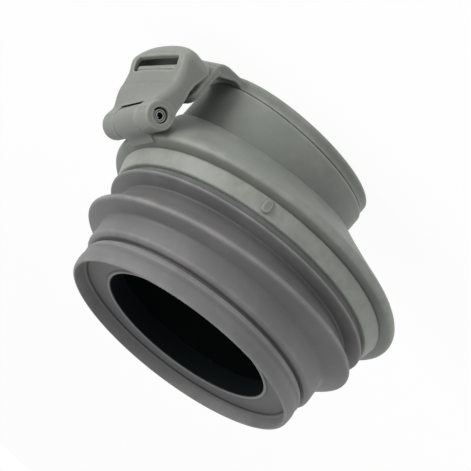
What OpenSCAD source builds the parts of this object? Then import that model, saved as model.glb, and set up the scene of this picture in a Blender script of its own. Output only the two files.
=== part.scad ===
// Sewer hose end adapter: a stepped rubber pipe seal on a rigid, slightly bent hood that ends in
// a hose collar, closed by a hinged clamp ring and an over-nose latch.
// Frame: the collar's axis is Z, the clamp ring's open face lies on z = 0, the latch is on +X and
// the inlet end leans toward -Y. Seal depths are measured from the mouth lip.

/* [Inlet] */
// Distance from the clamp ring's face to the mouth lip, along the inlet axis
inlet_h = 91.9; // [88:0.1:110]
// Angle between the collar's axis and the inlet axis
inlet_tilt = 10; // [0:0.5:12]
// Sideways offset of the inlet axis, away from the latch
inlet_offset = 14; // [10:0.1:17]

/* [Pipe seal] */
// Inside diameter of the mouth lip
mouth_d = 94.8; // [92:0.1:96]
// Thickness of the mouth lip at its edge
lip_w = 0.9; // [0.6:0.1:1.4]
// Depth of the ring-shaped face behind the mouth lip
face_depth = 5.6; // [4:0.1:6.5]
// Bore that takes the smaller pipe stub
inlet_bore_d = 70; // [60:0.1:76]
// Length of the bore's sleeve
sleeve_len = 8.8; // [6:0.1:14]
// Wall of the bore's sleeve
sleeve_wall = 2.2; // [1.5:0.1:3]
// Largest diameter of the rounded bead behind the lip
bead_d = 98.8; // [98:0.1:101]
// Diameter at the bottom of the narrow groove
groove_d = 94; // [92:0.1:96]
// Depth of the groove's centre
groove_depth = 10.1; // [9.6:0.1:11]
// Width of the groove
groove_w = 1.1; // [0.8:0.1:1.6]
// Step that plugs a four-inch pipe
plug_d = 101.6; // [100:0.1:104]
// Length of the plug step
plug_len = 8.3; // [6:0.1:9]
// Wide disc that covers the end of the pipe
disc_d = 116.4; // [112:0.1:120]
// Depth of the wide disc's rim
disc_depth = 24.8; // [24:0.1:26]
// Height of the wide disc's rim
disc_rim = 2.2; // [1.6:0.1:3]
// Neck between the wide disc and the brim
neck_d = 102; // [100:0.1:104]
// Depth of the neck's lower edge
neck_depth = 33; // [32:0.1:33.6]
// Thin brim above the body
brim_d = 115.2; // [113:0.1:117]
// Depth of the brim's rim
brim_depth = 35.9; // [35.6:0.1:36.4]
// Thickness of the brim's rim
brim_rim = 1.1; // [0.8:0.1:1.4]
// Tail of the seal, held inside the body
tail_d = 108.6; // [107:0.1:109.4]
// Wall of the seal at its tail
tail_wall = 3.3; // [2.6:0.1:4]

/* [Body] */
// Depth of the body's rim, below the mouth lip
body_depth = 39; // [38.6:0.1:39.6]
// Diameter of the body's rim at its edge
rim_d = 114.8; // [113:0.1:116]
// Diameter of the body's rim at its foot
rim_foot_d = 118.6; // [117:0.1:120]
// Height of the body's rim
rim_h = 6.3; // [5.5:0.1:7]
// Diameter of the body's flange
flange_d = 127.6; // [124:0.1:130]
// Height of the flange, from the rim's foot to its inner ledge
flange_h = 7.7; // [7.5:0.1:8.5]
// Height of the flange's outer band, from the rim's foot to the hood
flange_band = 5.2; // [4.6:0.1:5.6]
// Thickness of the hood's wall
hood_wall = 3.4; // [2.6:0.1:4]
// Height of the edge where the hood meets the collar
hood_edge_z = 18.9; // [18:0.1:20]
// Slope of that edge, higher on the latch side
hood_edge_tilt = 7.6; // [5:0.1:9]
// How far the hood's edge stands out from the collar
hood_step = 1.0; // [0.4:0.1:1.6]
// Width of the index nub on the body's rim
nub_w = 3.6; // [2.5:0.1:5]
// Direction of the index nub, from the latch
nub_angle = -63; // [-75:1:-50]

/* [Collar and gasket] */
// Outside diameter of the hose collar
collar_d = 77.4; // [76.4:0.1:78.6]
// Diameter of the passage through the collar
passage_d = 68; // [64:0.1:69]
// Radius of the edge at the collar's open end
collar_round = 1.4; // [0.8:0.1:2]
// Outside diameter of the gasket
gasket_d = 72; // [71:0.1:72.2]
// Height of the gasket
gasket_h = 4.4; // [3:0.1:6]
// How far the gasket stands out of the collar
gasket_proud = 0.5; // [0.2:0.1:0.8]

/* [Clamp ring] */
// Outside diameter of the clamp ring
ring_d = 75.6; // [75:0.1:77]
// Height of the clamp ring
ring_h = 4.9; // [4.2:0.1:6]
// Opening of the clamp ring
ring_bore_d = 67; // [62:0.1:67.8]
// Thickness of the ring's inward plate
plate_t = 2.2; // [1.6:0.1:2.8]
// Thickness of the ring's skirt
skirt_t = 1.6; // [1.2:0.1:1.8]
// Gap between the clamp ring and the collar
ring_gap = 0.3; // [0.2:0.05:0.5]
// Distance of the ring's hinge pin from the collar's axis
hinge_x = 43.4; // [43:0.1:45]
// Height of the ring's hinge pin above the ring's open face
hinge_z = 11; // [10.6:0.1:11.4]
// Direction of the ring's hinge, from the latch
hinge_turn = 150; // [140:1:165]
// Radius of the ring's hinge knuckles
hinge_r = 3.4; // [3:0.1:3.8]
// Width of the ring's hinge
hinge_w = 17; // [15:0.5:20]
// Diameter of the ring's hinge pin
hinge_pin_d = 3; // [2.4:0.1:3.4]

/* [Strap and catch] */
// Distance of the strap's outer face from the collar's axis
strap_x = 50.1; // [49:0.1:50.3]
// Thickness of the strap
strap_t = 3.2; // [2.4:0.1:3.6]
// Width of the strap
strap_w = 37; // [30:0.5:38]
// Height of the strap's free end along the inlet axis
strap_end = 26; // [24:0.1:28]
// Width of the catch nose
nose_w = 34.6; // [28:0.2:36]
// Thickness of the catch nose
nose_t = 3.5; // [2.8:0.1:3.6]
// Height of the catch nose's centre along the inlet axis
nose_s = 20.9; // [20.8:0.1:21.2]
// How far the nose reaches into the latch's window
nose_grip = 0.8; // [0.5:0.05:1]

/* [Latch] */
// Distance of the latch pin from the collar's axis
pin_x = 54; // [53.8:0.1:55]
// Height of the latch pin along the inlet axis
pin_s = 41; // [40:0.1:42]
// Diameter of the latch pin
pin_d = 6; // [4:0.1:6.4]
// Bore of the coiled latch pin
pin_bore_d = 3.4; // [2:0.1:3.6]
// How far the pin's ends sit inside the lever
pin_recess = 3; // [1:0.1:5]
// Radius of the latch's knuckles
knuckle_r = 6; // [5.4:0.1:6.2]
// Width of the latch lever
lever_w = 45; // [42:0.5:48]
// Width of the body's knuckle between the lever's two
lug_w = 22.2; // [18:0.2:26]
// Height of the lever's free end along the inlet axis
lever_end = 6.6; // [6.2:0.1:8]
// Distance of the lever's outer face from the collar's axis, near its free end
face_x = 66.4; // [66:0.1:67]
// Height of the place where the lever's face starts to round over
crown_s = 15; // [14:0.1:16]
// Thickness of the lever's face
face_t = 2.2; // [1.8:0.1:2.6]
// Thickness of the lever's cheeks
cheek_t = 2.4; // [2:0.1:3]
// Height of the window in the lever's face
window_h = 6.4; // [6.2:0.1:7]
// Gap between the window's lower edge and the nose
window_gap = 0.6; // [0.4:0.1:0.8]

/* [Fits] */
// Radial running clearance of both hinge pins
pin_fit = 0.05; // [0.02:0.01:0.1]
// Side clearance between knuckles
side_gap = 0.3; // [0.2:0.05:0.5]
// Clearance round a moving knuckle
swing_gap = 0.5; // [0.3:0.05:0.8]
// Clearance of the retainer and of the seal's tail
seat_fit = 0.1; // [0.05:0.05:0.2]

/* [Hidden] */
$fn = 52;

body_s = inlet_h - body_depth;
foot_s = body_s - rim_h;
hood_s = foot_s - flange_h;
band_s = foot_s - flange_band;
collar_z = ring_h + ring_gap;
gasket_z = collar_z - gasket_proud;
passage_top = hood_edge_z + passage_d / 2 * tan(hood_edge_tilt) + 1.5;
tail_r = tail_d / 2;
tail_bore_r = tail_r - tail_wall;
shelf_s = band_s + 1.5;
tail_depth = inlet_h - shelf_s;
socket_r = tail_r + seat_fit;
knuckle_out = pin_x + knuckle_r;
window_w = nose_w + 2.4;
window_s = nose_s + nose_t / 2 + window_gap;
lever_hollow_w = lever_w - 2 * cheek_t;
pin_len = lever_w - 2 * pin_recess;
inlet_place = [-inlet_offset, 0, 0];
arm_z = 1.2;
arm_shift = 1.3;
arm_root_r = ring_d / 2 - skirt_t / 2;
arm_start = arm_root_r - 6;

// Points of an arc from angle a to angle b
function arc(x, y, r, a, b, n = 8) =
    [for (i = [0 : n]) [x + r * cos(a + (b - a) * i / n), y + r * sin(a + (b - a) * i / n)]];

// Distance of the lever's outer face from the collar's axis at a height on the inlet axis
function face_at(s) = face_x + (knuckle_out - face_x) * (s - crown_s) / (pin_s - crown_s);

// A seal point given by radius and depth below the mouth lip
function seal(points) = [for (p = points) [p[0], inlet_h - p[1]]];

// Turns the latch's and hinge's frame into the row's: local Z is the inlet axis's direction
module along_inlet() {
    rotate([inlet_tilt, 0, 0]) children();
}

// The inlet axis itself
module on_inlet() {
    along_inlet() translate(inlet_place) children();
}

// Turns local +X to the ring's hinge
module at_hinge() {
    rotate([0, 0, hinge_turn]) children();
}

// A cylinder along local Y, centred on its length
module cross_pin(x, s, r, w) {
    translate([x, 0, s]) rotate([90, 0, 0]) cylinder(h = w, r = r, center = true);
}

// Stepped rubber seal: lip, bead, plug step, wide disc, brim and tail
module seal_boot() {
    mouth_r = mouth_d / 2;
    bore_r = inlet_bore_d / 2;
    sleeve_r = bore_r + sleeve_wall;
    face_back = face_depth + 3;
    groove_top = groove_depth - groove_w / 2;
    groove_end = groove_depth + groove_w / 2;
    plug_r = plug_d / 2;
    plug_start = disc_depth - 4.3 - plug_len;
    plug_end = plug_start + plug_len;
    disc_r = disc_d / 2;
    rim = disc_rim / 2;
    neck_r = neck_d / 2;
    brim_r = brim_d / 2;
    thin = brim_rim / 2;
    inner_r = groove_d / 2 - 2.6;
    outside = concat(
        [[mouth_r, 0], [mouth_r + lip_w, 0.1], [mouth_r + lip_w + 0.5, 0.8], [bead_d / 2 - 0.2, 2.8]],
        [[bead_d / 2, 4.4], [bead_d / 2 - 0.7, 6.4], [bead_d / 2 - 0.2, 8]],
        [[bead_d / 2 - 0.7, groove_top - 0.3], [groove_d / 2, groove_top], [groove_d / 2, groove_end]],
        [[plug_r - 1.6, groove_end + 0.2], [plug_r - 0.4, plug_start - 0.6], [plug_r, plug_start]],
        [[plug_r, plug_end]],
        arc(disc_r - rim, disc_depth, rim, -70, 60, 5),
        [[disc_r - 3.6, disc_depth + rim + 2.6], [neck_r, neck_depth], [neck_r - 0.8, neck_depth + 0.4]],
        arc(brim_r - thin, brim_depth, thin, -80, 90, 4),
        [[tail_r + 1.3, brim_depth + thin + 0.5], [tail_r + 1.3, body_depth], [tail_r, body_depth]],
        [[tail_r, tail_depth]]
    );
    inside = [
        [tail_bore_r, tail_depth], [tail_bore_r, body_depth - 0.8], [neck_r - 3.4, body_depth - 2],
        [neck_r - 3.4, neck_depth], [plug_r - 4.2, plug_end], [inner_r, groove_end + 1],
        [inner_r - 1.2, face_back], [sleeve_r, face_back], [sleeve_r, face_depth - 0.8 + sleeve_len],
        [bore_r, face_depth - 0.8 + sleeve_len], [bore_r, face_depth - 0.8], [bore_r + 1, face_depth - 0.8],
        [bore_r + 1.4, face_depth], [mouth_r - 1.8, face_depth], [mouth_r - 0.5, face_depth - 1.2]
    ];
    color([0.5, 0.49, 0.48])
        on_inlet() rotate_extrude() polygon(seal(concat(outside, inside)));
}

// Revolved upper part of the body: rim, dark step and rounded flange
module body_top() {
    flange_r = flange_d / 2;
    foot_r = rim_foot_d / 2;
    corner = 1.6;
    hood_round = 1.4;
    profile = concat(
        [[socket_r, body_s], [rim_d / 2 - 0.6, body_s], [rim_d / 2, body_s - 0.6]],
        arc(foot_r - 0.5, foot_s + 0.5, 0.5, 0, -90, 2),
        [[foot_r - 0.7, foot_s - 0.5], [flange_r - 2.4, foot_s - 1.2]],
        arc(flange_r - corner, foot_s - 1.6 - corner, corner, 60, 0, 3),
        arc(flange_r - hood_round, band_s + hood_round, hood_round, 0, -45, 2),
        [[flange_r - 9, hood_s], [tail_bore_r - 1.5, hood_s], [tail_bore_r - 1.5, shelf_s], [socket_r, shelf_s]]
    );
    rotate_extrude($fn = 60) polygon(profile);
}

// Thin disc on the inlet axis, the hood's wide end
module wide_end(r, s) {
    on_inlet() translate([0, 0, s]) cylinder(h = 0.4, r = r);
}

// Thin sloping disc round the collar, the hood's narrow end
module narrow_end(r) {
    translate([0, 0, hood_edge_z]) rotate([0, -hood_edge_tilt, 0]) cylinder(h = 0.4, r = r);
}

// Outside or inside of the hood, drawn between its two ends
module hood_form(wide_r, wide_s, inset) {
    hull() {
        wide_end(wide_r, wide_s);
        narrow_end(collar_d / 2 + hood_step - inset);
    }
}

// Outer cylinder and rounded end of the hose collar
module collar_form() {
    r = collar_d / 2;
    top_z = hood_edge_z + 8;
    rotate_extrude() polygon(concat(
        [[0, top_z], [0, collar_z]],
        arc(r - collar_round, collar_z + collar_round, collar_round, -90, 0, 3),
        [[r, top_z]]
    ));
}

// Small rounded nub on the body's rim
module index_nub() {
    nub_r = (rim_d + rim_foot_d) / 4;
    nub_low = foot_s + 0.6 + nub_w / 2;
    nub_high = body_s - 1 - nub_w / 2;
    rotate([0, 0, nub_angle]) {
        for (s = [nub_low, nub_high])
            translate([nub_r - 1, 0, s]) rotate([0, 90, 0]) cylinder(h = 2.4, d = nub_w, $fn = 20);
        translate([nub_r - 1, -nub_w / 2, nub_low]) cube([2.4, nub_w, nub_high - nub_low]);
    }
}

// The body's knuckle for the latch pin, with its web to the flange
module latch_lug() {
    web_in = flange_d / 2 - inlet_offset - 5;
    web_w = lug_w + side_gap;
    cross_pin(pin_x, pin_s, knuckle_r, lug_w + 2 * side_gap);
    translate([web_in, -web_w / 2, pin_s - knuckle_r + 1.2])
        cube([pin_x - web_in, web_w, 2 * knuckle_r - 2.4]);
}

// Space that the lever's two knuckles turn in, beside the lug
module knuckle_pockets() {
    w = lever_w / 2 + side_gap - lug_w / 2;
    for (side = [-1, 1])
        translate([0, side * (lug_w / 2 + w / 2), 0]) cross_pin(pin_x, pin_s, knuckle_r + swing_gap, w);
}

// The body's knuckle for the clamp ring's hinge, with its web to the collar
module ring_lug() {
    w = hinge_w / 3 - side_gap;
    web_w = w - 0.4;
    cross_pin(hinge_x, hinge_z, hinge_r, w);
    translate([collar_d / 2 - 2, -web_w / 2, hinge_z - hinge_r + 1])
        cube([hinge_x - collar_d / 2 + 2, web_w, 2 * hinge_r - 2]);
}

// Rigid body: socket for the seal, hood, hose collar and both hinge lugs
module adapter_body() {
    color([0.54, 0.56, 0.53]) difference() {
        union() {
            difference() {
                union() {
                    on_inlet() body_top();
                    hood_form(flange_d / 2 - 0.5, band_s + 0.9, 0);
                    collar_form();
                    on_inlet() index_nub();
                    along_inlet() latch_lug();
                }
                hood_form(tail_bore_r + 2.2, hood_s + 0.2, hood_wall);
                on_inlet() translate([0, 0, hood_s + 0.4]) cylinder(h = body_depth - rim_h, r = tail_bore_r);
                translate([0, 0, -1]) cylinder(h = passage_top + 1, d = passage_d);
                translate([0, 0, -1]) cylinder(h = gasket_z + gasket_h + 1, d = gasket_d);
            }
            at_hinge() ring_lug();
        }
        at_hinge() cross_pin(hinge_x, hinge_z, hinge_pin_d / 2 + pin_fit, hinge_w);
        along_inlet() {
            cross_pin(pin_x, pin_s, pin_d / 2 + pin_fit, lug_w + 4);
            knuckle_pockets();
        }
    }
}

// Hard ring pressed into the seal's tail, which keeps it in the body
module seal_retainer() {
    out_r = tail_bore_r - seat_fit;
    in_r = out_r - 2.4;
    top_s = body_s - 1;
    color([0.36, 0.38, 0.37]) on_inlet() rotate_extrude() polygon([
        [in_r, shelf_s + 0.1], [out_r, shelf_s + 0.1], [out_r, top_s - 0.8], [out_r - 0.8, top_s], [in_r, top_s]
    ]);
}

// Square-section gasket in the collar's end
module coupler_gasket() {
    color([0.16, 0.17, 0.18]) rotate_extrude() difference() {
        translate([passage_d / 2, gasket_z]) square([(gasket_d - passage_d) / 2, gasket_h]);
        translate([gasket_d / 2, gasket_z]) circle(r = 0.5, $fn = 12);
        translate([passage_d / 2, gasket_z]) circle(r = 0.5, $fn = 12);
    }
}

// Revolved part of the clamp ring: inward plate and skirt
module ring_form() {
    ring_r = ring_d / 2;
    edge = 1.1;
    rotate_extrude() polygon(concat(
        [[ring_bore_d / 2, 0]],
        arc(ring_r - edge, edge, edge, -90, 0, 3),
        [[ring_r, ring_h], [ring_r - skirt_t, ring_h], [ring_r - skirt_t, plate_t], [ring_bore_d / 2, plate_t]]
    ));
}

// Arm that leaves the ring on the latch side and rises a little as it goes outward
module strap_arm() {
    inner_x = strap_x - strap_t;
    rise = 1.5;
    translate([0, -arm_shift, 0]) rotate([90, 0, 0]) linear_extrude(strap_w - 0.6, center = true) polygon([
        [arm_start, arm_z], [inner_x - 1.4, arm_z + rise], [strap_x - 1.5, arm_z + rise + 1.1],
        [strap_x - 0.3, arm_z + rise + 3], [strap_x - 0.3, ring_h + 5], [inner_x + 0.4, ring_h + 5],
        [inner_x - 0.4, ring_h + 3.6], [inner_x - 1.6, ring_h + 2.9], [collar_d / 2 + 1.2, ring_h - 0.4],
        [arm_start, ring_h - 0.4]
    ]);
}

// Flat strap beside the lever, with rounded corners at its free end and a foot inside the arm
module strap_plate() {
    corner = 6;
    half = strap_w / 2;
    foot = ring_h + 2.3;
    along_inlet() translate([strap_x - strap_t, 0, 0]) rotate([90, 0, 90]) linear_extrude(strap_t)
        polygon(concat(
            [[-half, foot + half * tan(inlet_tilt)], [half, foot - half * tan(inlet_tilt)]],
            arc(half - corner, strap_end - corner, corner, 0, 90, 6),
            arc(corner - half, strap_end - corner, corner, 90, 180, 6)
        ));
}

// Nose on the strap that sits in the lever's window
module catch_nose() {
    nose_end = face_at(nose_s) - face_t + nose_grip;
    along_inlet() translate([strap_x - 0.5, -nose_w / 2, nose_s - nose_t / 2])
        cube([nose_end - strap_x + 0.5, nose_w, nose_t]);
}

// Foot that carries the ring's two hinge ears
module hinge_foot() {
    foot_h = ring_h - arm_z - 0.6;
    at_hinge() translate([arm_start, -hinge_w / 2 - 0.6, arm_z + 0.2])
        cube([hinge_x + hinge_r - 0.5 - arm_start, hinge_w + 1.2, foot_h]);
}

// One hinge ear, from the foot to round the ring's hinge pin; side is -1 or 1
module hinge_ear(side) {
    ear_w = hinge_w / 3 - side_gap;
    low = (arm_z + ring_h) / 2;
    at_hinge() translate([0, side * hinge_w / 3, 0]) {
        cross_pin(hinge_x, hinge_z, hinge_r, ear_w);
        translate([hinge_x - hinge_r + 0.8, 0.2 - ear_w / 2, low])
            cube([2 * hinge_r - 1.6, ear_w - 0.4, hinge_z - low]);
    }
}

// Hinged clamp ring with its strap, catch nose and hinge ears
module clamp_ring() {
    color([0.53, 0.55, 0.52]) difference() {
        union() {
            ring_form();
            difference() {
                union() {
                    strap_arm();
                    hinge_foot();
                }
                translate([0, 0, -ring_h]) cylinder(h = 4 * ring_h, r = arm_root_r);
            }
            strap_plate();
            catch_nose();
            hinge_ear(-1);
            hinge_ear(1);
        }
        at_hinge() cross_pin(hinge_x, hinge_z, hinge_pin_d / 2 + pin_fit, 2 * hinge_w);
    }
}

// Side outline of the lever: knuckle, leaning face, rounded crown and cheek edge
module lever_side(inset) {
    crown = 6.5 - inset;
    crown_x = face_at(lever_end + 6.5) - 7;
    polygon(concat(
        [[pin_x + knuckle_r - inset, pin_s], [face_at(crown_s) - inset, crown_s]],
        arc(crown_x, lever_end + 6.5, crown, 15, -90, 8),
        [[crown_x - 3.4, lever_end + inset]],
        inset > 0 ? [[pin_x - 16, lever_end + inset], [pin_x - 16, pin_s]] :
            [[crown_x - 4, lever_end + 3], [pin_x + 0.2, 20], [pin_x - 2.2, 29], [pin_x - knuckle_r + 1.6, pin_s - 4]]
    ));
}

// Latch lever: hollow arm with two cheeks, two knuckles and the window for the nose
module latch_lever() {
    knuckle_w = (lever_w - lug_w) / 2 - side_gap;
    window_depth = 12;
    color([0.56, 0.58, 0.55]) along_inlet() difference() {
        union() {
            rotate([90, 0, 0]) linear_extrude(lever_w, center = true) lever_side(0);
            cross_pin(pin_x, pin_s, knuckle_r, lever_w);
        }
        difference() {
            rotate([90, 0, 0]) linear_extrude(lever_hollow_w, center = true) lever_side(face_t);
            translate([pin_x - 40, -lever_w / 2, pin_s - knuckle_r - 1.5]) cube([80, lever_w, 40]);
        }
        cross_pin(pin_x, pin_s, knuckle_r + swing_gap, lug_w + 2 * side_gap);
        translate([pin_x - 20, -lug_w / 2 - side_gap, pin_s - knuckle_r])
            cube([20, lug_w + 2 * side_gap, 2 * knuckle_r + 1]);
        translate([face_x - window_depth, -window_w / 2, window_s - window_h])
            cube([window_depth + 2, window_w, window_h]);
        cross_pin(pin_x, pin_s, pin_d / 2 + pin_fit, lever_w + 2);
    }
}

// Coiled spring pin of the latch, set back from the lever's two ends
module latch_pin() {
    color([0.3, 0.3, 0.31]) along_inlet() difference() {
        cross_pin(pin_x, pin_s, pin_d / 2, pin_len);
        cross_pin(pin_x, pin_s, pin_bore_d / 2, pin_len + 2);
    }
}

// Plain pin of the clamp ring's hinge
module ring_hinge_pin() {
    color([0.7, 0.7, 0.71]) at_hinge() cross_pin(hinge_x, hinge_z, hinge_pin_d / 2, hinge_w - 0.6);
}

seal_boot();
adapter_body();
seal_retainer();
coupler_gasket();
clamp_ring();
latch_lever();
latch_pin();
ring_hinge_pin();
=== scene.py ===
# Sewer hose end adapter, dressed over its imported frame. Lengths are in mm until a mesh is made.
import math

import bpy
import numpy as np
from mathutils import Matrix, Vector


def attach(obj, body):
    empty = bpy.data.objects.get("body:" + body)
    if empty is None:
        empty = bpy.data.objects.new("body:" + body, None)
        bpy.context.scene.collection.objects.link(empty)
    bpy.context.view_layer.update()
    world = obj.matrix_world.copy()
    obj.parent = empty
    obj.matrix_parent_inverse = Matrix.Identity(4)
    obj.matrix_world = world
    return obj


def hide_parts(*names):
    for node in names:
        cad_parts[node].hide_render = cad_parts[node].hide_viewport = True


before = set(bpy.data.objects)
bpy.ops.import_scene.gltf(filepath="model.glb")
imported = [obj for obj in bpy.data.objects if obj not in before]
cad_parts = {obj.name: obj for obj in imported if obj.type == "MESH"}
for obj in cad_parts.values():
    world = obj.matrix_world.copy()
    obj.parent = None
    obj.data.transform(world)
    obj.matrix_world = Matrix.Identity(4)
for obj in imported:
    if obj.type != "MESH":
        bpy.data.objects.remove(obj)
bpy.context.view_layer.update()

mm = 0.001
inlet = dict(height=91.9, tilt=math.radians(10), offset=14)
print("frame loaded:", ", ".join(sorted(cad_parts)))


# Places in the row's frame, from the inlet's and the collar's own circles
def fromInlet(x, m, s):  # latch and hinge frame to row frame
    cosT, sinT = math.cos(inlet["tilt"]), math.sin(inlet["tilt"])
    return np.stack([x + 0 * m, m * cosT - s * sinT, m * sinT + s * cosT], -1)


def toInlet(y, z):
    cosT, sinT = math.cos(inlet["tilt"]), math.sin(inlet["tilt"])
    return y * cosT + z * sinT, z * cosT - y * sinT


def around(count):
    return np.linspace(0, 2 * math.pi, count, endpoint=False)


def inletRing(r, depth, turn, lean=0):  # circle about the inlet axis; lean raises its latch side
    s = inlet["height"] - depth + lean * np.cos(turn)
    return fromInlet(r * np.cos(turn) - inlet["offset"], r * np.sin(turn), s)


def collarRing(r, z, turn, slope=0):  # circle about the collar's axis; slope raises its latch side
    rise = math.tan(math.radians(slope)) * r * np.cos(turn)
    return np.stack([r * np.cos(turn), r * np.sin(turn), z + rise], -1)


# Meshes: rings joined into closed shells, and skins over distance fields
def roundRings(rings, cuts, steps=5):  # rounds each ring of the section by its cut
    out, count = [], len(rings)
    for i, (ring, cut) in enumerate(zip(rings, cuts)):
        if np.max(cut) <= 0:
            out.append(ring)
            continue
        back, ahead = rings[i - 1] - ring, rings[(i + 1) % count] - ring
        backLen = np.linalg.norm(back, axis=1, keepdims=True)
        aheadLen = np.linalg.norm(ahead, axis=1, keepdims=True)
        a = ring + back / backLen * np.minimum(cut, 0.48 * backLen)
        b = ring + ahead / aheadLen * np.minimum(cut, 0.48 * aheadLen)
        for t in np.linspace(0, 1, steps):
            out.append((1 - t) ** 2 * a + 2 * t * (1 - t) * ring + t * t * b)
    return np.array(out)


def shellMesh(name, rings):  # closed both ways round
    rows, cols = rings.shape[:2]
    i, j = np.meshgrid(np.arange(rows), np.arange(cols), indexing="ij")
    down, side = (i + 1) % rows, (j + 1) % cols
    quads = np.stack([i * cols + j, i * cols + side, down * cols + side, down * cols + j], -1)
    quads = quads.reshape(-1, 4)
    return solidMesh(name, rings.reshape(-1, 3), quads)


def solidMesh(name, points, quads):
    p = points[quads]
    volume = np.einsum("ij,ij->i", p[:, 0], np.cross(p[:, 1], p[:, 2])).sum()
    volume += np.einsum("ij,ij->i", p[:, 0], np.cross(p[:, 2], p[:, 3])).sum()
    if volume < 0:
        quads = quads[:, ::-1]
    mesh = bpy.data.meshes.new(name)
    mesh.vertices.add(len(points))
    mesh.vertices.foreach_set("co", (points * mm).astype(np.float32).ravel())
    mesh.loops.add(quads.size)
    mesh.loops.foreach_set("vertex_index", quads.astype(np.int32).ravel())
    mesh.polygons.add(len(quads))
    mesh.polygons.foreach_set("loop_start", np.arange(0, quads.size, 4, dtype=np.int32))
    mesh.update(calc_edges=True)
    mesh.validate()
    mesh.polygons.foreach_set("use_smooth", np.ones(len(mesh.polygons), bool))
    return mesh


def outline(x, y, corners):  # signed distance to a closed outline, negative inside
    best, inside = np.full(np.broadcast(x, y).shape, 1e9, np.float32), False
    for (ax, ay), (bx, by) in zip(corners, corners[1:] + corners[:1]):
        ex, ey = bx - ax, by - ay
        t = np.clip(((x - ax) * ex + (y - ay) * ey) / (ex * ex + ey * ey + 1e-9), 0, 1)
        best = np.minimum(best, (x - ax - t * ex) ** 2 + (y - ay - t * ey) ** 2)
        if ay != by:
            inside = inside ^ (((ay > y) != (by > y)) & (x < ex * (y - ay) / ey + ax))
    return np.sqrt(best) * np.where(inside, -1, 1).astype(np.float32)


def extruded(flat, across, half, edge):  # a flat distance drawn out to both sides, edges rounded
    a, b = flat + edge, np.abs(across) - half + edge
    return np.minimum(np.maximum(a, b), 0) + np.hypot(np.maximum(a, 0), np.maximum(b, 0)) - edge


def fuse(a, b, k=0.6):  # union with a fillet
    h = np.clip(0.5 + 0.5 * (b - a) / k, 0, 1)
    return b * (1 - h) + a * h - k * h * (1 - h)


def carve(a, b, k=0.4):  # a without b, its edge eased
    return -fuse(-a, b, k)


def grid(low, high, step):
    axes = [np.arange(start, end + step, step, dtype=np.float32) for start, end in zip(low, high)]
    return [axis.reshape([-1 if n == i else 1 for n in range(3)]) for i, axis in enumerate(axes)]


def smooth(t):
    t = np.clip(t, 0, 1)
    return t * t * (3 - 2 * t)


def skin(field, low, step):  # surface net over a distance field: one point in each crossed cell
    inside = field < 0
    cell = tuple(n - 1 for n in field.shape)

    def part(values, o):
        return values[o[0]:o[0] + cell[0], o[1]:o[1] + cell[1], o[2]:o[2] + cell[2]]

    spots = [(i, j, k) for i in (0, 1) for j in (0, 1) for k in (0, 1)]
    total = sum(part(inside, o).astype(np.int8) for o in spots)
    where = np.argwhere((total > 0) & (total < 8))
    place, hits = np.zeros((len(where), 3)), np.zeros(len(where))
    for o in spots:
        for axis in range(3):
            if o[axis]:
                continue
            far = [o[n] + (n == axis) for n in range(3)]
            a = field[tuple((where + o).T)]
            b = field[tuple((where + far).T)]
            cross = (a < 0) != (b < 0)
            t = np.where(cross, a / np.where(cross, a - b, 1), 0)
            spot = np.tile(np.array(o, float), (len(where), 1))
            spot[:, axis] += t
            place += spot * cross[:, None]
            hits += cross
    points = (where + place / hits[:, None]) * step + np.array(low)
    number = np.full(cell, -1)
    number[tuple(where.T)] = np.arange(len(where))
    quads = []
    for axis in range(3):
        one, two = (axis + 1) % 3, (axis + 2) % 3
        start = [slice(None)] * 3
        start[axis] = slice(0, -1)
        end = [slice(None)] * 3
        end[axis] = slice(1, None)
        hit = np.argwhere(inside[tuple(start)] != inside[tuple(end)])
        hit = hit[(hit[:, one] > 0) & (hit[:, two] > 0)]
        hit = hit[(hit[:, one] < cell[one]) & (hit[:, two] < cell[two])]
        flip = inside[tuple(hit.T)]
        ids = []
        for da, db in ((1, 1), (0, 1), (0, 0), (1, 0)):
            at = hit.copy()
            at[:, one] -= da
            at[:, two] -= db
            ids.append(number[tuple(at.T)])
        quad = np.stack(ids, 1)
        quad[~flip] = quad[~flip][:, ::-1]
        quads.append(quad)
    return points, np.concatenate(quads)


def markEdges(mesh, sharp=1.1):  # worn edges, which also carry a painted highlight, and creases, which carry dirt and painted shade, from how fast the surface turns
    count = len(mesh.vertices)
    co, normal = np.zeros(count * 3, np.float32), np.zeros(count * 3, np.float32)
    mesh.vertices.foreach_get("co", co)
    mesh.vertex_normals.foreach_get("vector", normal)
    ends = np.zeros(len(mesh.edges) * 2, np.int32)
    mesh.edges.foreach_get("vertices", ends)
    co, normal, ends = co.reshape(-1, 3) / mm, normal.reshape(-1, 3), ends.reshape(-1, 2)
    step = co[ends[:, 1]] - co[ends[:, 0]]
    turn = np.einsum("ij,ij->i", normal[ends[:, 1]] - normal[ends[:, 0]], step)
    turn /= np.maximum(np.einsum("ij,ij->i", step, step), 0.02)
    high, low = np.zeros(count), np.zeros(count)
    for side in (0, 1):
        np.maximum.at(high, ends[:, side], turn)
        np.minimum.at(low, ends[:, side], turn)
    for name, value in (("wearAndHighlight", high), ("creaseDirtAndShade", -low)):
        value = np.clip(value / sharp, 0, 1)
        for _ in range(2):  # spread a little along the surface
            spread, number = value.copy(), np.ones(count)
            np.add.at(spread, ends[:, 0], value[ends[:, 1]])
            np.add.at(spread, ends[:, 1], value[ends[:, 0]])
            np.add.at(number, ends.ravel(), 1)
            value = spread / number
        store(mesh, name, value)


def store(mesh, name, value):
    layer = mesh.attributes.new(name, "FLOAT", "POINT")
    layer.data.foreach_set("value", value.astype(np.float32))


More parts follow.
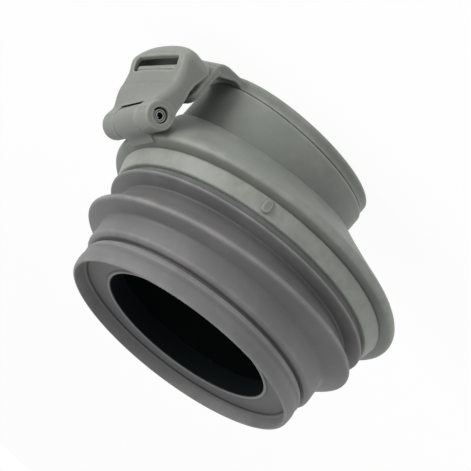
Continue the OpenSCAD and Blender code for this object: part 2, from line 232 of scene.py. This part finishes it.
def markPassageShade(mesh):  # 1 on the walls of the passage, which catch little light; the finish paints shade there
    count = len(mesh.vertices)
    co, normal = np.zeros(count * 3, np.float32), np.zeros(count * 3, np.float32)
    mesh.vertices.foreach_get("co", co)
    mesh.vertex_normals.foreach_get("vector", normal)
    co, normal = co.reshape(-1, 3) / mm, normal.reshape(-1, 3)
    m, s = toInlet(co[:, 1], co[:, 2])
    normalM, _ = toInlet(normal[:, 1], normal[:, 2])
    x, depth = co[:, 0] + inlet["offset"], inlet["height"] - s
    r = np.maximum(np.hypot(x, m), 1)
    inward = -(normal[:, 0] * x + normalM * m) / r
    passageShade = np.clip((inward - 0.1) / 0.4, 0, 1) * np.clip((depth - 4.9) / 0.5, 0, 1)
    store(mesh, "passageShade", passageShade * (r < 53) * (co[:, 0] < 40))


def place(name, mesh, finish, body, node, slot):
    markEdges(mesh)
    if name in ("sealBoot", "adapterShell"):
        markPassageShade(mesh)
    mesh.materials.clear()
    mesh.materials.append(finish)
    obj = bpy.data.objects.new(name, mesh)
    bpy.context.scene.collection.objects.link(obj)
    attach(obj, body)
    if node:
        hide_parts(node)
    print("made", name, len(mesh.polygons), "faces")
    return obj


# Finishes, all procedural
def linear(red, green, blue):
    def channel(value):
        return ((value / 255 + 0.055) / 1.055) ** 2.4 if value > 10 else value / 255 / 12.92

    return channel(red), channel(green), channel(blue), 1


def finish(name, look):
    material = bpy.data.materials.new(name)
    material.use_nodes = True
    nodes, links = material.node_tree.nodes, material.node_tree.links
    shader = nodes["Principled BSDF"]
    where = nodes.new("ShaderNodeTexCoord").outputs["Object"]

    def noise(scale, detail, rough=0.5, stretch=None):
        source = where
        if stretch:
            mapping = nodes.new("ShaderNodeMapping")
            mapping.inputs["Scale"].default_value = stretch
            links.new(where, mapping.inputs["Vector"])
            source = mapping.outputs["Vector"]
        node = nodes.new("ShaderNodeTexNoise")
        node.inputs["Scale"].default_value = scale
        node.inputs["Detail"].default_value = detail
        node.inputs["Roughness"].default_value = rough
        links.new(source, node.inputs["Vector"])
        return node.outputs["Fac"]

    def spread(value, low, high, toLow=0.0, toHigh=1.0):
        node = nodes.new("ShaderNodeMapRange")
        for key, number in zip(("From Min", "From Max", "To Min", "To Max"), (low, high, toLow, toHigh)):
            node.inputs[key].default_value = number
        links.new(value, node.inputs["Value"])
        return node.outputs["Result"]

    def times(a, b):
        node = nodes.new("ShaderNodeMath")
        node.operation = "MULTIPLY"
        for socket, value in zip(node.inputs, (a, b)):
            if isinstance(value, float):
                socket.default_value = value
            else:
                links.new(value, socket)
        return node.outputs[0]

    def mixColour(amount, a, b):
        node = nodes.new("ShaderNodeMix")
        node.data_type = "RGBA"
        links.new(amount, node.inputs["Factor"])
        for socket, value in ((node.inputs[6], a), (node.inputs[7], b)):
            if isinstance(value, tuple):
                socket.default_value = value
            else:
                links.new(value, socket)
        return node.outputs[2]

    def marked(key):
        node = nodes.new("ShaderNodeAttribute")
        node.attribute_name = key
        return node.outputs["Fac"]

    cloud = noise(look["cloud"], 3)
    grain = noise(look["grain"], 2, 0.6)
    scuff = noise(look["scuff"], 4, 0.65, look.get("stretch"))
    colour = mixColour(spread(cloud, 0.32, 0.68), linear(*look["dark"]), linear(*look["colour"]))
    colour = mixColour(times(spread(scuff, 0.52, 0.72), 0.5), colour, linear(*look["pale"]))
    colour = mixColour(times(spread(grain, 0.45, 0.62), look["speckle"]), colour, linear(*look["dark"]))
    # Painted highlight on convex edges, partly real wear: the pale edge colour is mixed in where the
    # surface turns fast, broken up by scuff noise.
    edgeWearAndHighlight = times(marked("wearAndHighlight"), spread(scuff, 0.3, 0.6, 0.35, 1.0))
    colour = mixColour(times(edgeWearAndHighlight, look["wearAndHighlight"]), colour, linear(*look["edge"]))
    # Painted shade in creases, partly dirt: concave places darken towards the crease colour.
    colour = mixColour(times(marked("creaseDirtAndShade"), look["grimeAndShadeAmount"]), colour, linear(*look["grimeAndShade"]))
    # Painted shade: the passage walls go near black and lose most of their reflection.
    colour = mixColour(marked("passageShade"), colour, linear(*look["passageShade"]))
    links.new(colour, shader.inputs["Base Color"])
    links.new(spread(marked("passageShade"), 0.0, 1.0, 0.5, 0.06), shader.inputs["Specular IOR Level"])
    links.new(spread(scuff, 0.3, 0.7, look["rough"][0], look["rough"][1]), shader.inputs["Roughness"])
    shader.inputs["Metallic"].default_value = look.get("metal", 0.0)
    shader.inputs["IOR"].default_value = look.get("ior", 1.48)
    bump = nodes.new("ShaderNodeBump")
    bump.inputs["Strength"].default_value = look["bump"]
    bump.inputs["Distance"].default_value = 0.00006
    links.new(grain, bump.inputs["Height"])
    wave = nodes.new("ShaderNodeBump")
    wave.inputs["Strength"].default_value = look["wave"]
    wave.inputs["Distance"].default_value = 0.0005
    links.new(cloud, wave.inputs["Height"])
    links.new(wave.outputs["Normal"], bump.inputs["Normal"])
    links.new(bump.outputs["Normal"], shader.inputs["Normal"])
    return material


# The pale edge colour is a painted highlight, partly wear; the dark crease colour is dirt and painted
# shade; the near-black colour is painted shade for the passage walls.
plastic = dict(colour=(133, 138, 131), dark=(124, 129, 123), pale=(142, 146, 139), edge=(180, 183, 174),
               grimeAndShade=(70, 75, 72), passageShade=(15, 21, 22), cloud=45.0, grain=2600.0, scuff=160.0,
               speckle=0.35, wearAndHighlight=0.55, grimeAndShadeAmount=0.4, rough=(0.42, 0.56), bump=0.35, wave=0.12)
rubber = dict(plastic, colour=(121, 120, 120), dark=(110, 109, 110), pale=(131, 129, 128),
              edge=(170, 168, 166), grimeAndShade=(58, 60, 64), cloud=38.0, grain=1900.0, scuff=110.0,
              speckle=0.25, wearAndHighlight=0.6, grimeAndShadeAmount=0.45, rough=(0.5, 0.62), bump=0.25, wave=0.2)
innerPlastic = dict(plastic, colour=(70, 76, 76), dark=(60, 66, 66), pale=(82, 87, 86),
                    edge=(104, 108, 107))
gasketRubber = dict(rubber, colour=(44, 45, 47), dark=(36, 37, 39), pale=(56, 57, 58),
                    edge=(72, 73, 74), grimeAndShade=(20, 20, 21), rough=(0.55, 0.7))
steel = dict(plastic, colour=(122, 124, 126), dark=(92, 94, 96), pale=(150, 151, 152),
             edge=(196, 196, 196), grimeAndShade=(46, 44, 42), metal=1.0, rough=(0.28, 0.42), scuff=420.0,
             stretch=(1, 0.15, 1), bump=0.2)

bodyFinish = finish("mouldedBodyPlastic", plastic)
latchFinish = finish("mouldedLatchPlastic", dict(plastic, colour=(138, 142, 134), dark=(129, 133, 126)))
ringFinish = finish("mouldedRingPlastic", dict(plastic, cloud=70.0, speckle=0.5, dark=(118, 123, 116)))
sealFinish = finish("sealRubber", rubber)
retainerFinish = finish("retainerPlastic", innerPlastic)
gasketFinish = finish("gasketRubber", gasketRubber)
steelFinish = finish("springSteel", steel)
print("finishes ready")


# Seal boot
boot = dict(turns=288, discLean=2.4,
            section=[  # radius, depth, fillet, share of the disc's lean
                (47.5, 0.0, 0.25, 0), (48.4, 0.1, 0.5, 0), (48.9, 1.0, 0.8, 0), (49.3, 4.2, 1.6, 0),
                (48.75, 6.6, 1.0, 0), (49.2, 8.0, 0.8, 0), (48.6, 9.3, 0.3, 0), (47.0, 9.6, 0.35, 0),
                (47.0, 10.6, 0.35, 0), (49.2, 10.9, 0.5, 0), (50.75, 12.0, 0.9, 0), (50.8, 20.4, 1.1, 0.1),
                (57.6, 23.9, 0.8, 1), (58.2, 24.6, 0.6, 1), (58.1, 25.6, 0.6, 1), (54.7, 28.6, 1.6, 0.7),
                (51.0, 33.0, 1.2, 0), (51.3, 33.9, 0.8, 0), (56.9, 35.3, 0.5, 0), (57.6, 35.9, 0.4, 0),
                (57.0, 36.5, 0.5, 0), (55.6, 36.9, 0.4, 0), (55.6, 38.95, 0.1, 0), (54.3, 39.0, 0.1, 0),
                (54.3, 49.0, 0.4, 0), (51.0, 49.0, 0.4, 0), (51.0, 38.4, 0.8, 0), (47.6, 37.0, 1.2, 0),
                (47.6, 33.0, 2.0, 0), (46.6, 20.4, 3.0, 0), (44.4, 11.7, 2.0, 0), (43.2, 8.8, 1.2, 0),
                (37.2, 8.7, 0.8, 0), (37.2, 13.6, 0.7, 0), (35.0, 13.6, 0.7, 0), (35.0, 5.0, 0.6, 0),
                (36.2, 4.9, 0.5, 0), (36.6, 5.6, 0.4, 0), (45.6, 5.6, 0.8, 0), (46.8, 4.4, 0.5, 0)])
turn = around(boot["turns"])
corners = [inletRing(r, depth, turn, boot["discLean"] * share)
           for r, depth, _, share in boot["section"]]
rings = roundRings(corners, [c[2] for c in boot["section"]])
place("sealBoot", shellMesh("sealBoot", rings), sealFinish, "adapter", "seal_boot", "seal_rubber")


# Body
body = dict(turns=288, depth=39.0, rimHeight=6.3, band=5.2, flangeR=63.8, rimR=57.4, footR=59.3,
            socketR=54.4, tailR=51.0, shelfDepth=49.0, ledge=52.4, wall=3.4, edgeZ=18.35,
            edgeSlope=6.95, step=1.0, collarR=38.7, collarEnd=5.2, passageR=34.0, seatR=36.0,
            seatEnd=9.1, flangeRound=1.5, farRound=1.2)
turn = around(body["turns"])
footDepth = body["depth"] + body["rimHeight"]
hoodDepth = footDepth + body["band"]
blend = (body["flangeRound"] + body["farRound"] * (1 - np.cos(turn)))[:, None]
flangeR, collarR, slope = body["flangeR"], body["collarR"], body["edgeSlope"]
stations = [
    (collarRing(body["seatR"], body["collarEnd"], turn), 0.3),
    (collarRing(collarR, body["collarEnd"], turn), 1.4),
    (collarRing(collarR, body["edgeZ"], turn, slope), 0.25),
    (collarRing(collarR + body["step"], body["edgeZ"], turn, slope), 0.35),
    (inletRing(flangeR - 0.15, hoodDepth - 0.4, turn), blend),
    (inletRing(flangeR, footDepth + 1.6, turn), 1.6),
    (inletRing(flangeR - 2.4, footDepth + 1.2, turn), 0.5),
    (inletRing(body["footR"] - 0.8, footDepth + 0.6, turn), 0.5),
    (inletRing(body["footR"], footDepth, turn), 0.45),
    (inletRing(body["rimR"], body["depth"], turn), 0.7),
    (inletRing(body["socketR"], body["depth"], turn), 0.3),
    (inletRing(body["socketR"], body["shelfDepth"], turn), 0.2),
    (inletRing(body["tailR"], body["shelfDepth"], turn), 0.4),
    (inletRing(body["tailR"], body["ledge"], turn), 0.4),
    (inletRing(body["tailR"] + 2.2, body["ledge"], turn), 0.6),
    (collarRing(collarR + body["step"] - body["wall"], body["edgeZ"], turn, slope), 0.8),
    (collarRing(body["passageR"], body["edgeZ"], turn, slope), 0.8),
    (collarRing(body["passageR"], body["seatEnd"], turn), 0.3),
    (collarRing(body["seatR"], body["seatEnd"], turn), 0.3),
]
rings = roundRings([c for c, _ in stations], [f for _, f in stations])
shell = shellMesh("adapterShell", rings)

latch = dict(pinX=54.0, pinM=-2.2, pinS=41.0, faceTurn=math.radians(8.5), kneeHigh=39.0, kneeLow=29.0,
             knuckleR=5.7, boreR=3.05, lugHalf=9.15, leverHalf=18.7, gap=0.3, swing=0.6)


def fromLatch(x, v, s):  # latch frame, v along the pin, to row frame; the face turns below the knuckle
    turn = latch["faceTurn"] * smooth((latch["kneeHigh"] - s) / (latch["kneeHigh"] - latch["kneeLow"]))
    u = x - latch["pinX"]
    return fromInlet(latch["pinX"] + u * np.cos(turn) + v * np.sin(turn),
                     latch["pinM"] - u * np.sin(turn) + v * np.cos(turn), s)


def cutterMesh(name, low, high, r, count=96):  # closed cylinder along the latch pin's direction
    turn = around(count)

    def ring(radius, v):
        x = latch["pinX"] + radius * np.cos(turn)
        return fromLatch(x, v + 0 * turn, latch["pinS"] + radius * np.sin(turn))

    points = np.concatenate([ring(r, low), ring(r, high)])
    mesh = bpy.data.meshes.new(name)
    sides = [(i, (i + 1) % count, count + (i + 1) % count, count + i) for i in range(count)]
    ends = [tuple(range(count))[::-1], tuple(range(count, 2 * count))]
    mesh.from_pydata((points * mm).tolist(), [], sides + ends)
    return mesh


def cutAway(mesh, cutters):  # exact boolean difference, applied
    obj = bpy.data.objects.new("cutting", mesh)
    bpy.context.scene.collection.objects.link(obj)
    tools = []
    for n, cutter in enumerate(cutters):
        tool = bpy.data.objects.new(f"cutter{n}", cutter)
        bpy.context.scene.collection.objects.link(tool)
        tools.append(tool)
        cut = obj.modifiers.new(f"cut{n}", "BOOLEAN")
        cut.operation, cut.solver, cut.object = "DIFFERENCE", "EXACT", tool
    result = bpy.data.meshes.new_from_object(obj.evaluated_get(bpy.context.evaluated_depsgraph_get()))
    for thing in [obj, *tools]:
        bpy.data.objects.remove(thing)
    result.polygons.foreach_set("use_smooth", np.ones(len(result.polygons), bool))
    result.set_sharp_from_angle(angle=math.radians(48))
    return result


pocketR = latch["knuckleR"] + latch["swing"]
pocketEnd = latch["leverHalf"] + latch["gap"]
bpy.context.view_layer.update()
shell = cutAway(shell, [cutterMesh("pocketA", latch["lugHalf"], pocketEnd, pocketR),
                        cutterMesh("pocketB", -pocketEnd, -latch["lugHalf"], pocketR)])
shell.name = "adapterShell"
place("adapterShell", shell, bodyFinish, "adapter", "adapter_body", "body_plastic")

lug = dict(step=0.3, webIn=46.5, webLow=35.4, webHigh=45.6)
low, high = (lug["webIn"] - 1.5, -13, 32), (61.5, 13, 48.5)
x, m, s = grid(low, high, lug["step"])
knuckle = np.hypot(x - latch["pinX"], s - latch["pinS"]) - latch["knuckleR"]
web = outline(x, s, [(lug["webIn"], lug["webLow"] - 1.2), (49.6, lug["webLow"] - 0.4),
                     (latch["pinX"], lug["webLow"]), (latch["pinX"], lug["webHigh"]),
                     (49.6, lug["webHigh"] + 0.3), (lug["webIn"], lug["webHigh"] + 0.6)])
field = extruded(fuse(knuckle, web, 1.6), m, latch["lugHalf"], 0.45)
field = carve(field, np.hypot(x - latch["pinX"], s - latch["pinS"]) - latch["boreR"] + 0 * m, 0.3)
points, quads = skin(field, low, lug["step"])
lugMesh = solidMesh("latchLug", fromLatch(*points.T), quads)
place("latchLug", lugMesh, bodyFinish, "adapter", None, "body_plastic")

nub = dict(turn=math.radians(-63), r=58.35, width=3.4, low=47.6, high=51.4, proud=1.25, step=0.15)
low, high = (nub["r"] - 1.6, -3, 45), (nub["r"] + 2.2, 3, 54)
u, v, s = grid(low, high, nub["step"])
pastEnd = np.maximum(np.maximum(nub["low"] + 1 - s, s - nub["high"] + 1), 0)
pill = np.hypot(v, pastEnd) - nub["width"] / 2
field = extruded(pill, u - nub["r"], nub["proud"], 0.5)
points, quads = skin(field, low, nub["step"])
cosN, sinN = math.cos(nub["turn"]), math.sin(nub["turn"])
nubPoints = fromInlet(points[:, 0] * cosN - points[:, 1] * sinN - inlet["offset"],
                      points[:, 0] * sinN + points[:, 1] * cosN, points[:, 2])
place("indexNub", solidMesh("indexNub", nubPoints, quads), bodyFinish, "adapter", None, "body_plastic")

hinge = dict(x=43.4, z=11.0, turn=math.radians(150), r=3.4, half=2.68, boreR=1.55)


def fromHinge(x, y, z):  # hinge frame, x outward, to row frame
    cosH, sinH = math.cos(hinge["turn"]), math.sin(hinge["turn"])
    return np.stack([x * cosH - y * sinH, x * sinH + y * cosH, z + 0 * x], -1)


low, high = (35.5, -4, 6.5), (hinge["x"] + 4.2, 4, 15.6)
x, y, z = grid(low, high, 0.25)
knuckle = np.hypot(x - hinge["x"], z - hinge["z"]) - hinge["r"]
web = outline(x, z, [(hinge["x"], 8.6), (37.0, 8.2), (37.0, 14.0), (hinge["x"], 13.4)])
field = extruded(fuse(knuckle, web, 1.0), y, hinge["half"], 0.35)
field = carve(field, np.hypot(x - hinge["x"], z - hinge["z"]) - hinge["boreR"] + 0 * y, 0.2)
points, quads = skin(field, low, 0.25)
hingeLugMesh = solidMesh("hingeLug", fromHinge(*points.T), quads)
place("hingeLug", hingeLugMesh, bodyFinish, "adapter", None, "body_plastic")


# Retainer and gasket
def turned(name, ringOf, section, turns=160):
    turn = around(turns)
    rings = roundRings([ringOf(r, at, turn) for r, at, _ in section], [c[2] for c in section])
    return shellMesh(name, rings)


retainer = dict(section=[(50.9, 48.9, 0.3), (50.9, 40.8, 0.6), (50.2, 40.0, 0.4), (48.5, 40.0, 0.4),
                         (48.5, 48.9, 0.4)])
retainerMesh = turned("sealRetainer", inletRing, retainer["section"])
place("sealRetainer", retainerMesh, retainerFinish, "adapter", "seal_retainer", "inner_plastic")

gasket = dict(section=[(34.0, 4.7, 0.5), (34.7, 4.75, 0.3), (35.0, 5.2, 0.3), (35.3, 4.75, 0.3),
                       (36.0, 4.7, 0.5), (36.0, 9.1, 0.25), (34.0, 9.1, 0.25)])
gasketMesh = turned("couplerGasket", collarRing, gasket["section"])
place("couplerGasket", gasketMesh, gasketFinish, "adapter", "coupler_gasket", "gasket_rubber")


# Clamp ring
ring = dict(r=37.8, height=4.9, bore=33.5, plate=2.2, skirt=1.6, step=0.35, strapX=50.4, strapT=3.0,
            strapHalf=15.4, strapEnd=26.2, strapRound=5, noseHalf=12.6, noseS=20.9, noseHalfT=1.6,
            noseEnd=62.0)
low, high = (-43.5, -40.5, -1.4), (67, 40.5, 29.0)
x, y, z = grid(low, high, ring["step"])
m, s = toInlet(y, z)
out = np.hypot(x, y)
cosF, sinF = math.cos(latch["faceTurn"]), math.sin(latch["faceTurn"])
u = latch["pinX"] + (x - latch["pinX"]) * cosF - (m - latch["pinM"]) * sinF
v = (x - latch["pinX"]) * sinF + (m - latch["pinM"]) * cosF
rimOut, rimIn = ring["r"] - 0.35, ring["r"] - ring["skirt"] + 0.35
lid, top = ring["plate"] - 0.35, ring["height"] - 0.3
field = outline(out, z, [(ring["bore"] + 0.35, 0.35), (ring["r"] - 1.0, 0.35), (rimOut, 1.0),
                         (rimOut, top), (rimIn, top), (rimIn, lid), (ring["bore"] + 0.35, lid)])
field = field - 0.33
strapOut, strapIn = ring["strapX"], ring["strapX"] - ring["strapT"]
arm = outline(u, z, [(33, 1.3), (strapIn - 1.4, 2.7), (strapOut - 2.2, 3.5), (strapOut - 0.9, 4.8),
                     (strapOut - 0.3, 6.8), (strapOut - 0.3, 10), (strapIn + 0.3, 10),
                     (strapIn - 0.4, 8.6), (strapIn - 1.6, 7.8), (40.2, 4.6), (33, 4.5)])
arm = extruded(arm, v, ring["strapHalf"] - 0.2, 0.5)
arm = carve(arm, out - (ring["r"] - 1.2), 0.1)
field = fuse(field, arm, 1.6)
corner = ring["strapRound"]
pastSide = np.maximum(np.abs(v) - ring["strapHalf"] + corner, 0)
pastEnd = np.maximum(s - ring["strapEnd"] + corner, 0)
plate = np.hypot(pastSide, pastEnd) - corner
plate = np.maximum(plate, 7.1 - z)
plate = extruded(plate, u - (strapOut + strapIn) / 2, ring["strapT"] / 2, 0.6)
field = fuse(field, plate, 1.0)
noseEnd, noseS, noseTop = ring["noseEnd"], ring["noseS"], ring["noseS"] + ring["noseHalfT"]
nose = outline(u, s, [(strapOut - 1.5, noseS - 2.1), (noseEnd - 1.4, noseS - 1.6),
                      (noseEnd, noseS - 0.5), (noseEnd, noseS + 0.9), (noseEnd - 0.9, noseTop),
                      (strapOut - 1.5, noseTop)])
field = fuse(field, extruded(nose, v, ring["noseHalf"], 0.5), 0.8)
cosH, sinH = math.cos(hinge["turn"]), math.sin(hinge["turn"])
u, v = x * cosH + y * sinH - hinge["x"], y * cosH - x * sinH
foot = extruded(outline(u, z, [(-9, 1.4), (2.4, 1.4), (2.9, 2.0), (2.9, 4.5), (-9, 4.5)]), v, 9.1, 0.5)
foot = np.maximum(foot, ring["r"] - 1.2 - out)
field = fuse(field, foot, 0.8)
for side in (-1, 1):
    ear = np.hypot(u, z - hinge["z"]) - hinge["r"]
    stem = outline(u, z, [(-2.6, 2.9), (2.6, 2.9), (2.6, hinge["z"]), (-2.6, hinge["z"])])
    field = fuse(field, extruded(fuse(ear, stem, 0.4), v - side * 5.667, 2.68, 0.3), 0.5)
field = carve(field, np.hypot(u, z - hinge["z"]) - hinge["boreR"], 0.2)
points, quads = skin(field, low, ring["step"])
place("clampRing", solidMesh("clampRing", points, quads), ringFinish, "ring", "clamp_ring", "body_plastic")
del field, arm, plate, nose, foot, out


# Latch lever
lever = dict(half=latch["leverHalf"], crownX=60.5, crownS=15.1, crownR=4.5, face=2.2, cheek=2.4,
             windowHalf=14.2, windowTop=23.1, windowH=5.5, windowRound=1.9, step=0.25, soft=2.6,
             faceBow=1.3, endBow=3.9,
             front=[(59.7, 41.0), (59.5, 37.0), (61.1, 28.2), (63.1, 22.2), (64.3, 18.4)],
             back=[(52.2, 12.2), (53.0, 17.4), (53.7, 23.6), (53.6, 26.3), (52.7, 30.4),
                   (49.7, 37.4)])


def leverSide(inset, behind):  # side outline; behind adds depth, so only the front edges are soft
    crown, end = lever["crownR"] - inset, lever["crownS"] - lever["crownR"] + inset
    bend = [(lever["crownX"] + crown * math.cos(t), lever["crownS"] + crown * math.sin(t))
            for t in np.radians(np.linspace(12, -90, 10))]
    front = [(px - inset, ps) for px, ps in lever["front"]]
    if behind:
        return front + bend + [(lever["crownX"] - 20, end), (lever["crownX"] - 20, latch["pinS"])]
    return front + bend + [(53.1, end)] + lever["back"]


low, high = (40, -20.5, 8.5), (67.5, 20.5, 48)
x, m, s = grid(low, high, lever["step"])
realX, realS, side = x, s, np.abs(m) / lever["half"]
x = x + lever["faceBow"] * side ** 2 * smooth((34 - s) / 12) * np.clip((x - latch["pinX"]) / 3, 0, 1)
s = s - lever["endBow"] * side ** 3 * smooth((24 - s) / 6)
knuckle = np.hypot(x - latch["pinX"], s - latch["pinS"])
arm = extruded(outline(x, s, leverSide(0, True)), m, lever["half"], lever["soft"])
arm = np.maximum(arm, extruded(outline(x, s, leverSide(0, False)), m, lever["half"], 0.5))
arm = fuse(arm, extruded(knuckle - latch["knuckleR"], m, lever["half"], 0.7), 1.0)
hollow = extruded(outline(x, s, leverSide(lever["face"], True)), m, lever["half"] - lever["cheek"], 1.6)
hollow = np.maximum(hollow, s - (latch["pinS"] - latch["knuckleR"] - 1.5))
field = carve(arm, hollow, 0.5)
besideLug = np.abs(m) - latch["lugHalf"] - latch["gap"]
field = carve(field, np.maximum(knuckle - latch["knuckleR"] - latch["swing"], besideLug), 0.3)
behind = np.maximum(np.abs(x - latch["pinX"] + 10) - 10, np.abs(s - latch["pinS"] - 0.5) - 6.5)
field = carve(field, np.maximum(behind, besideLug), 0.3)
x, s = realX, realS
middle = lever["windowTop"] - lever["windowH"] / 2
corner = lever["windowRound"]
pastSide = np.maximum(np.abs(m) - lever["windowHalf"] + corner, 0)
pastEnd = np.maximum(np.abs(s - middle) - lever["windowH"] / 2 + corner, 0)
window = np.hypot(pastSide, pastEnd) - corner
field = carve(field, np.maximum(window, 54.4 - x), 0.6)
field = carve(field, knuckle - latch["boreR"] + 0 * m, 0.3)
points, quads = skin(field, low, lever["step"])
leverMesh = solidMesh("latchLever", fromLatch(*points.T), quads)
place("latchLever", leverMesh, latchFinish, "latch", "latch_lever", "body_plastic")
del field, arm, hollow, window, behind

# Pins
coil = dict(outR=2.95, sheet=0.55, gap=0.16, turns=2.3, half=17.9, samples=150, ease=0.12)
angle = np.linspace(0, coil["turns"] * 2 * math.pi, coil["samples"])
radius = coil["outR"] - (coil["sheet"] + coil["gap"]) * angle / (2 * math.pi)
direction = np.stack([np.cos(angle), np.sin(angle)], 1)
outer, inner = radius[:, None] * direction, (radius - coil["sheet"])[:, None] * direction
loop = np.concatenate([outer, inner[::-1]])
levels = [(-coil["half"], coil["ease"]), (-coil["half"] + 0.25, 0), (coil["half"] - 0.25, 0),
          (coil["half"], coil["ease"])]
centre = np.concatenate([(outer + inner) / 2, ((outer + inner) / 2)[::-1]])
stack = [fromLatch(latch["pinX"] + p[:, 0], v + 0 * p[:, 0], latch["pinS"] + p[:, 1])
         for v, ease in levels for p in [loop + (centre - loop) * ease / (coil["sheet"] / 2)]]
count = len(loop)
points = np.concatenate(stack)
quads = []
for low in range(0, 3 * count, count):
    quads += [(low + i, low + (i + 1) % count, low + count + (i + 1) % count, low + count + i)
              for i in range(count)]
half = coil["samples"]
for k, order in ((0, 1), (3, -1)):
    for i in range(half - 1):
        cap = (k * count + i, k * count + count - 1 - i, k * count + count - 2 - i, k * count + i + 1)
        quads.append(cap[::order])
coilMesh = solidMesh("coiledPin", points, np.array(quads))
place("coiledPin", coilMesh, steelFinish, "adapter", "latch_pin", "pin_steel")

hingePin = dict(turns=64, section=[(0.05, -8.2, 0), (1.2, -8.2, 0.15), (1.5, -7.9, 0.15),
                                   (1.5, 7.9, 0.15), (1.2, 8.2, 0.15), (0.05, 8.2, 0)])


def hingeRing(r, y, turn):
    return fromHinge(hinge["x"] + r * np.cos(turn), y + 0 * turn, hinge["z"] + r * np.sin(turn))


pinMesh = turned("ringHingePin", hingeRing, hingePin["section"], hingePin["turns"])
place("ringHingePin", pinMesh, steelFinish, "adapter", "ring_hinge_pin", "pin_steel")


# Stage, light and camera
stage = dict(size=30.0, drop=0.0004, seen=0.93, matt=0.12, paper=0.4, ambient=0.38, bounce=0.5, key=6.4,
             fill=0.8)
bpy.ops.mesh.primitive_plane_add(size=stage["size"], location=(0, 0, -stage["drop"]))
floor = bpy.context.object
floor.name = "studioFloor"
paper = bpy.data.materials.new("studioPaper")
paper.use_nodes = True
nodes, links = paper.node_tree.nodes, paper.node_tree.links
nodes.clear()
out = nodes.new("ShaderNodeOutputMaterial")


def seenRays(nodes, links):  # 1 for camera, glossy and transmission rays
    path = nodes.new("ShaderNodeLightPath")
    value = path.outputs["Is Camera Ray"]
    for key in ("Is Glossy Ray", "Is Transmission Ray"):
        node = nodes.new("ShaderNodeMath")
        node.operation = "MAXIMUM"
        links.new(value, node.inputs[0])
        links.new(path.outputs[key], node.inputs[1])
        value = node.outputs[0]
    return value


white = nodes.new("ShaderNodeEmission")
white.inputs["Strength"].default_value = stage["seen"]
matt = nodes.new("ShaderNodeBsdfDiffuse")
matt.inputs["Color"].default_value = (*[stage["matt"]] * 3, 1)
both = nodes.new("ShaderNodeAddShader")
links.new(white.outputs[0], both.inputs[0])
links.new(matt.outputs[0], both.inputs[1])
plain = nodes.new("ShaderNodeBsdfDiffuse")
plain.inputs["Color"].default_value = (*[stage["paper"]] * 3, 1)
glow = nodes.new("ShaderNodeEmission")
glow.inputs["Strength"].default_value = stage["bounce"]
lit = nodes.new("ShaderNodeAddShader")
links.new(plain.outputs[0], lit.inputs[0])
links.new(glow.outputs[0], lit.inputs[1])
mix = nodes.new("ShaderNodeMixShader")
links.new(seenRays(nodes, links), mix.inputs[0])
links.new(lit.outputs[0], mix.inputs[1])
links.new(both.outputs[0], mix.inputs[2])
links.new(mix.outputs[0], out.inputs["Surface"])
floor.data.materials.append(paper)

world = bpy.data.worlds.new("studio")
bpy.context.scene.world = world
world.use_nodes = True
nodes, links = world.node_tree.nodes, world.node_tree.links
background = nodes["Background"]
background.inputs["Color"].default_value = (1, 1, 1, 1)
strength = nodes.new("ShaderNodeMapRange")
strength.inputs["To Min"].default_value = stage["ambient"]
strength.inputs["To Max"].default_value = 1.0
links.new(seenRays(nodes, links), strength.inputs["Value"])
links.new(strength.outputs["Result"], background.inputs["Strength"])


def softLight(name, spot, power, size):
    lamp = bpy.data.lights.new(name, "AREA")
    lamp.energy, lamp.size = power, size
    obj = bpy.data.objects.new(name, lamp)
    bpy.context.scene.collection.objects.link(obj)
    direction = np.array(spot, float) - np.array([0, -0.01, 0.05])
    obj.location = spot
    obj.rotation_mode = "QUATERNION"
    obj.rotation_quaternion = Vector(direction).to_track_quat("Z", "Y")


softLight("keyLight", (1.05, -0.08, 0.2), stage["key"], 0.5)
softLight("fillLight", (-0.5, -0.9, 0.7), stage["fill"], 0.9)

view = dict(spot=(0.20259, -0.56443, 0.16538), right=(-0.65536, -0.38656, -0.64890),
            up=(0.67330, 0.09034, -0.73383), back=(0.34230, -0.91783, 0.20107), lens=122.3)
lens = bpy.data.cameras.new("camera")
lens.lens, lens.sensor_width = view["lens"], 36
camera = bpy.data.objects.new("camera", lens)
bpy.context.scene.collection.objects.link(camera)
columns = Matrix((view["right"], view["up"], view["back"])).transposed()
camera.matrix_world = Matrix.Translation(view["spot"]) @ columns.to_4x4()
bpy.context.scene.camera = camera
bpy.context.scene.view_settings.view_transform = "Standard"
print("stage ready")
